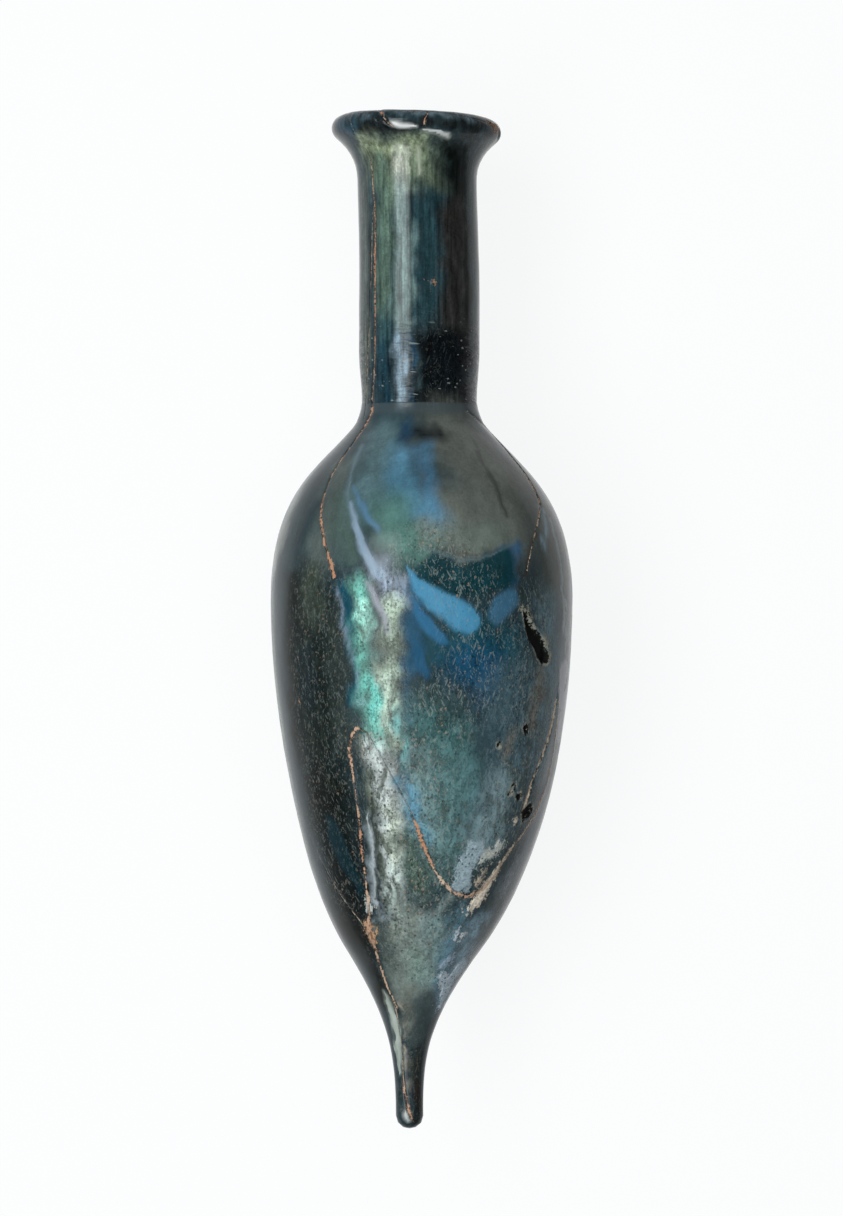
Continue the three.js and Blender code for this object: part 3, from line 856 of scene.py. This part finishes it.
def flask_piece(skin, material):
    bm = unrolled_mesh(skin)
    places = np.array([v.co[:2] for v in bm.verts])
    points, normals = skin.at(places[:, 0], places[:, 1])
    outside = places[:, 1] < skin.lip_end
    cracks = {name: crack_field(skin, points, normals, rows) for name, (*_, rows) in CRACKS.items()}
    pits = {name: outline_depth(skin, points, outline) for name, (_, outline) in PIT_OUTLINES.items()}
    crust, crust_colour = patches(skin, points, CRUSTS)
    painted, lit = wandered(points, PAINT_WANDER), wandered(points, GLOW_WANDER)
    glow, glow_colour = patches(skin, lit, GLOWS, (0, BACK_TURN))
    height = relief(skin, points, cracks, pits, crust)
    shaped = points + normals * (height * outside)[:, None]
    shaped[:, 2] = np.maximum(shaped[:, 2], -AXIS_HEIGHT)
    shaped = (shaped + [0, skin.end_height, AXIS_HEIGHT]) * MM
    for vertex, co in zip(bm.verts, shaped):
        vertex.co = co
    mesh = bpy.data.meshes.new("flask_glass")
    bm.to_mesh(mesh)
    bm.free()
    store(mesh, "ground_colour", paint(skin, painted, normals))
    store(mesh, "glow", glow)
    store(mesh, "glow_colour", glow_colour)
    store(mesh, "crust", crust)
    store(mesh, "crust_colour", crust_colour)
    store(mesh, "pit", np.minimum.reduce(list(pits.values())))
    store(mesh, "film", sprinkle(skin, painted, normals, FILMS))
    store(mesh, "specks", sprinkle(skin, painted, normals, SPECKS))
    store(mesh, "crack", nearest_crack(cracks))
    weld(mesh)
    mesh.shade_smooth()
    mesh.materials.append(material)
    piece = linked("flask_glass", mesh)
    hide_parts("flask")
    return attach(piece, "root")


def linked(name, data):
    """A new object that shows in the scene."""
    made = bpy.data.objects.new(name, data)
    bpy.context.scene.collection.objects.link(made)
    return made


def weld(mesh):
    """Closes the seam of the rolled-up sheet and its two ends."""
    bm = bmesh.new()
    bm.from_mesh(mesh)
    bmesh.ops.remove_doubles(bm, verts=bm.verts, dist=WELD_DISTANCE * MM)
    bmesh.ops.recalc_face_normals(bm, faces=bm.faces)
    bm.to_mesh(mesh)
    bm.free()


class Nodes:
    """Builds a material's or a world's nodes. An input is another node's output or a plain value."""

    def __init__(self, owner):
        owner.use_nodes = True
        self.owner = owner
        self.tree = owner.node_tree
        self.tree.nodes.clear()

    def add(self, kind, inputs, output=0, **settings):
        node = self.tree.nodes.new("ShaderNode" + kind)
        for key, value in settings.items():
            setattr(node, key, value)
        for key, value in inputs.items():
            if isinstance(value, bpy.types.NodeSocket):
                self.tree.links.new(value, node.inputs[key])
            else:
                node.inputs[key].default_value = value
        return node.outputs[output]

    def parts(self, kind, inputs, **settings):
        """Every output of a node."""
        return list(self.add(kind, inputs, **settings).node.outputs)

    def finish(self, shader, kind="ShaderNodeOutputMaterial"):
        output = self.tree.nodes.new(kind)
        self.tree.links.new(shader, output.inputs["Surface"])
        return self.owner

    def chain(self, operation, first, *others):
        for other in others:
            first = self.add("Math", {0: first, 1: other}, operation=operation)
        return first

    def plus(self, *values):
        return self.chain("ADD", *values)

    def minus(self, *values):
        return self.chain("SUBTRACT", *values)

    def times(self, *values):
        """A product, or of masks, where all of them are."""
        return self.chain("MULTIPLY", *values)

    def any_of(self, *masks):
        return self.chain("MAXIMUM", *masks)

    def size(self, value):
        return self.add("Math", {0: value}, operation="ABSOLUTE")

    def step(self, value, low, high):
        """0 below low, 1 above high, smooth in between. Low may be the larger one."""
        limits = {"From Min": low, "From Max": high}
        return self.add("MapRange", {"Value": value, **limits}, interpolation_type="SMOOTHSTEP")

    def mix(self, share, first, second):
        return self.add("Mix", {0: share, 6: first, 7: second}, output=2, data_type="RGBA")

    def dim(self, colour, factor):
        """A colour or a place times a number."""
        return self.add("VectorMath", {0: colour, "Scale": factor}, operation="SCALE")

    def noise(self, place, scale, detail, roughness=0.6, distortion=0.0):
        inputs = {"Vector": place, "Scale": scale, "Detail": detail, "Roughness": roughness}
        return self.add("TexNoise", {**inputs, "Distortion": distortion})

    def stretched(self, place, scale, turn=0.0):
        return self.add("Mapping", {"Vector": place, "Rotation": (0, 0, turn), "Scale": scale})

    def field(self, name, output="Fac"):
        """What the mesh keeps for each vertex under a name."""
        return self.add("Attribute", {}, output=output, attribute_name=name)


def rgba(colour):
    return (*linear(colour), 1.0)


def dots(n, place, scale, size, share):
    """Small specks of many sizes: a share of the cells of a net has one each."""
    inputs = {"Vector": place, "Scale": scale, "Randomness": 1.0}
    distance, cell, *_ = n.parts("TexVoronoi", inputs)
    chance = n.parts("SeparateColor", {"Color": cell})[0]
    reach = n.times(n.minus(share, chance), size / share)
    return n.step(n.minus(distance, reach), 0.06, -0.06)


def threads(n, place, scale, width):
    """Fine curly lines."""
    away = n.size(n.minus(n.noise(place, scale, 2.0, 0.5, 0.8), 0.5))
    broken = n.step(n.noise(place, scale * 0.8, 2.0), 0.5, 0.56)
    return n.times(n.step(away, width, width * 0.3), broken)


def dashes(n, place, turn, scale, share):
    """Short straight hairs that lie one way."""
    settings = {"Vector": place, "Rotation": (0, 0, turn), "Scale": (1.0, 6.0, 1.0)}
    laid = n.add("Mapping", settings, vector_type="TEXTURE")
    return dots(n, laid, scale, 0.3, share)


def around_one(n, value, spread):
    """A noise as a factor that strays from 1 by up to a spread."""
    limits = {"From Min": 0.3, "From Max": 0.7, "To Min": -1.0, "To Max": 1.0}
    return n.plus(1.0, n.times(n.add("MapRange", {"Value": value, **limits}), spread))


def textures(n, end_height):
    """The noises, masks and fields that the parts of the glass's material share."""
    place = n.dim(n.add("TexCoord", {}, output="Object"), 1 / MM)
    height = n.parts("SeparateXYZ", {"Vector": place})[1]
    drawn = n.stretched(place, (1.0, 0.42, 1.0), 0.22)
    neck_foot = end_height + NECK_FOOT_HEIGHT
    neck = n.step(height, neck_foot - 0.65, neck_foot - 0.35)
    return SimpleNamespace(
        place=place,
        drawn=drawn,
        fine=n.noise(place, 3.0, 5.0, 0.68),
        grain=n.noise(place, 8.0, 2.0),
        flow=n.noise(drawn, 1.2, 6.0, 0.68, 0.6),
        broad=n.noise(drawn, 0.25, 2.0, 0.5, 0.3),
        streaks=n.noise(n.stretched(place, (1.0, 0.06, 1.0)), 1.6, 3.0),
        patch=n.noise(drawn, 0.55, 3.0, 0.6, 0.5),
        film=n.field("film"),
        specks=n.field("specks"),
        neck=neck,
        low_neck=n.times(neck, n.step(height, neck_foot + 13, neck_foot + 7)),
        collar=n.times(n.step(height, neck_foot - 2.6, neck_foot - 1.4), n.minus(1.0, neck)),
    )


def bare_glass(n, t):
    """The colour of the glass in broad soft shapes, painted light and shade among them, with streaks up
    the neck, and its flakes.
    """
    busy = n.any_of(t.film, t.specks, t.neck)
    worn = n.plus(0.12, n.times(t.film, 0.3))
    colour = n.dim(n.field("ground_colour", "Color"), around_one(n, t.broad, 0.16))
    colour = n.dim(colour, around_one(n, t.flow, n.plus(0.12, n.times(busy, 0.24))))
    colour = n.dim(colour, around_one(n, t.fine, n.plus(0.14, n.times(busy, 0.14))))
    colour = n.dim(colour, n.plus(1.0, n.times(worn, n.minus(n.times(t.patch, 5.0), 2.5))))
    colour = n.mix(t.neck, colour, n.dim(colour, around_one(n, t.streaks, 0.6)))
    colour = n.mix(n.times(t.collar, 0.7), colour, rgba("#3f4a4e"))
    veined = n.step(n.size(n.minus(t.flow, 0.47)), 0.0, 0.09)
    flake = n.any_of(n.step(n.plus(t.flow, n.times(t.fine, 0.4)), 0.62, 0.74), veined)
    colour = n.mix(t.film, colour, n.mix(flake, n.dim(colour, 0.35), n.dim(colour, 1.22)))
    stained = n.times(t.film, n.step(t.patch, 0.46, 0.36), 0.75)
    return n.mix(stained, colour, rgba("#39443a")), flake


def light_shapes(n, t, colour):
    """The colour with the light shapes inside the glass and the painted highlights, and where they are."""
    glow = n.step(n.plus(n.field("glow"), n.times(t.flow, 0.4)), 0.75, -0.4)
    shade = n.dim(n.field("glow_colour", "Color"), n.plus(0.62, n.times(t.flow, 0.6)))
    return n.mix(n.times(glow, 0.94), colour, shade), glow


def sprinkled(n, t, colour, glow, pores):
    """The colour with specks, threads and tiny pits, and where the dark ones are."""
    specks = n.times(t.specks, n.minus(1.0, n.times(glow, 0.55)))
    pale_flecks = n.times(n.step(t.fine, 0.62, 0.68), specks)
    dark_flecks = n.times(n.step(t.fine, 0.43, 0.35), n.any_of(t.film, n.times(specks, 0.6)))
    crooked = n.add("VectorMath", {0: t.place, 1: n.times(t.grain, 0.6)}, operation="ADD")
    pale_dots = n.times(dots(n, crooked, 2.0, 0.34, 0.35), specks)
    dark_dots = n.times(pores, n.any_of(t.film, specks))
    hairs = n.any_of(
        threads(n, t.drawn, 2.2, 0.045),
        dashes(n, t.place, 0.5, 3.0, 0.7),
        dashes(n, t.place, -0.35, 2.6, 0.7),
    )
    scratches = n.times(dashes(n, t.place, 1.5, 2.0, 0.6), t.low_neck)
    lines = n.any_of(n.times(hairs, specks), scratches)
    warm = n.mix(n.step(t.grain, 0.45, 0.6), rgba("#8f8a7c"), rgba("#a0775a"))
    colour = n.mix(n.times(dark_flecks, 0.6), colour, n.dim(colour, 0.25))
    colour = n.mix(n.times(pale_flecks, 0.35), colour, rgba("#7f8a84"))
    colour = n.mix(n.times(dark_dots, 0.75), colour, rgba("#0c1112"))
    colour = n.mix(n.times(lines, 0.55), colour, rgba("#87928e"))
    return n.mix(n.times(pale_dots, 0.8), colour, warm), dark_dots


def crusted(n, t, colour, torn, pores):
    """The colour with the crusts, and where they are."""
    crust = n.step(n.plus(n.field("crust"), torn), 0.05, -0.04)
    shade = n.dim(n.field("crust_colour", "Color"), n.minus(n.times(t.fine, 2.6), 0.35))
    colour = n.mix(crust, colour, shade)
    return n.mix(n.times(pores, crust, 0.85), colour, rgba("#26404e")), crust


def mended(n, t, colour):
    """The colour with the filled cracks, where the fills are, and the dark joints beside them."""
    away, width, warmth = n.parts("SeparateXYZ", {"Vector": n.field("crack", "Vector")})
    ragged = n.times(n.plus(t.fine, t.flow), 0.5)
    beyond = n.minus(away, n.times(width, n.minus(n.times(ragged, 10.0), 4.3)))
    fill = n.step(beyond, 0.03, -0.05)
    joint = n.step(n.minus(away, n.times(width, 0.7)), 0.14, 0.0)
    tint = n.mix(n.times(warmth, n.step(t.grain, 0.35, 0.55)), rgba("#c9bba6"), rgba("#a56a45"))
    tint = n.mix(n.times(n.step(t.flow, 0.5, 0.4), 0.75), tint, rgba("#43342a"))
    colour = n.mix(n.times(joint, 0.6), colour, rgba("#15120f"))
    return n.mix(fill, colour, n.dim(tint, n.minus(n.times(t.grain, 2.4), 0.3))), fill, joint


def pitted(n, t, colour, torn, uneven):
    """The colour with the pits and their pale rims, and where the pits are."""
    depth = n.field("pit")
    pit = n.step(n.plus(depth, n.times(torn, 0.5)), 0.06, -0.06)
    rim = n.times(n.step(n.plus(depth, uneven), 0.36, 0.16), n.step(t.flow, 0.46, 0.54))
    colour = n.mix(n.times(rim, 0.7), colour, rgba("#8f9084"))
    return n.mix(pit, colour, rgba("#0b0e0b")), pit


def weathered_glass(end_height):
    n = Nodes(bpy.data.materials.new("weathered_glass"))
    t = textures(n, end_height)
    uneven = n.times(n.minus(t.fine, 0.5), 1.5)
    torn = n.plus(n.times(uneven, 2.2), n.times(n.minus(t.flow, 0.52), 4.0))
    pores = dots(n, t.place, 2.2, 0.44, 0.45)
    colour, flake = bare_glass(n, t)
    colour, glow = light_shapes(n, t, colour)
    colour, dark_dots = sprinkled(n, t, colour, glow, pores)
    colour, crust = crusted(n, t, colour, torn, pores)
    colour, fill, joint = mended(n, t, colour)
    colour, pit = pitted(n, t, colour, torn, uneven)
    matt = n.any_of(crust, pit, fill)
    gloss = n.plus(n.minus(0.17, n.times(t.neck, 0.06)), n.times(t.film, 0.22))
    gloss = n.plus(gloss, n.times(n.step(t.flow, 0.45, 0.65), 0.08))
    ripples = n.noise(n.stretched(t.place, (0.15, 1.0, 0.15)), 1.3, 3.0)
    height = n.plus(
        n.times(t.fine, 0.014),
        n.times(t.grain, 0.004),
        n.times(flake, t.film, 0.02),
        n.times(matt, 0.05),
        n.times(ripples, t.low_neck, 0.6),
    )
    height = n.minus(height, n.times(n.any_of(dark_dots, joint), 0.04))
    surface = {
        "Base Color": colour,
        "Roughness": n.add("Mix", {0: matt, 2: gloss, 3: 0.75}),
        "Normal": n.add("Bump", {"Height": height, "Strength": 0.6, "Distance": MM}),
        "IOR": 1.45,
        "Specular IOR Level": 0.13,
        "Transmission Weight": 0.16,
    }
    return n.finish(n.add("BsdfPrincipled", surface))


def pale_floor():
    """A plain white sheet that glows a little, so that it stays pale in the flask's shadow."""
    n = Nodes(bpy.data.materials.new("pale_floor"))
    place = n.add("TexCoord", {}, output="Object")
    across, along, _ = n.parts("SeparateXYZ", {"Vector": place})
    framed = n.times(n.step(n.size(across), 0.09, 0.062), n.step(n.size(along), 0.13, 0.091))
    surface = {
        "Base Color": (0.06, 0.06, 0.06, 1.0),
        "Roughness": 0.9,
        "Specular IOR Level": 0.1,
        "Emission Color": (0.985, 0.995, 1.0, 1.0),
        "Emission Strength": n.plus(FAR_FLOOR_GLOW, n.times(framed, FLOOR_GLOW - FAR_FLOOR_GLOW)),
    }
    mesh = bpy.data.meshes.new("floor")
    half = FLOOR_SIZE / 2
    corners = [(-half, -half, 0), (half, -half, 0), (half, half, 0), (-half, half, 0)]
    mesh.from_pydata(corners, [], [(0, 1, 2, 3)])
    mesh.materials.append(n.finish(n.add("BsdfPrincipled", surface)))
    floor = linked("floor", mesh)


def soft_light(name, place, size, radiance):
    """A soft box that looks at the flask. Its size is across and along, in metres."""
    light = bpy.data.lights.new(name, "AREA")
    light.shape = "RECTANGLE"
    light.size, light.size_y = size
    light.energy = radiance * math.pi * size[0] * size[1]
    box = linked(name, light)
    box.location = place
    way = Vector((0, 0, AXIS_HEIGHT * MM)) - Vector(place)
    box.rotation_euler = way.to_track_quat("-Z", "X").to_euler()
    return box


def surroundings():
    """A pale wall round the horizon under a dim ceiling."""
    world = bpy.data.worlds.new("studio")
    n = Nodes(world)
    direction = n.add("TexCoord", {}, output="Generated")
    up = n.parts("SeparateXYZ", {"Vector": direction})[2]
    limits = {"From Min": 0.0, "From Max": 0.25, "To Min": 0.25, "To Max": 0.01}
    brightness = n.add("MapRange", {"Value": up, **limits})
    n.finish(n.add("Background", {"Color": brightness}), "ShaderNodeOutputWorld")
    bpy.context.scene.world = world


def camera():
    data = bpy.data.cameras.new("camera")
    data.sensor_width = 36
    half_height = PHOTO_SIZE[1] / 2 * MM_PER_PIXEL
    data.lens = data.sensor_width / 2 * CAMERA_RISE / half_height
    data.clip_start = 0.01
    seer = linked("camera", data)
    seer.location = Vector((CAMERA_X, CAMERA_Y, AXIS_HEIGHT + CAMERA_RISE)) * MM
    bpy.context.scene.camera = seer


def main():
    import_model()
    camera()
    end_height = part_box("flask")[0].y / MM
    flask_piece(Skin(end_height), weathered_glass(end_height))
    pale_floor()
    surroundings()
    soft_light("key", (-0.46, 0.0, 0.82), (0.42, 1.1), 8.0)
    fill = soft_light("fill", (0.1, 0.0, 0.95), (0.8, 0.8), 2.6)
    fill.visible_glossy = False
    bpy.context.scene.view_settings.view_transform = "Standard"


main()
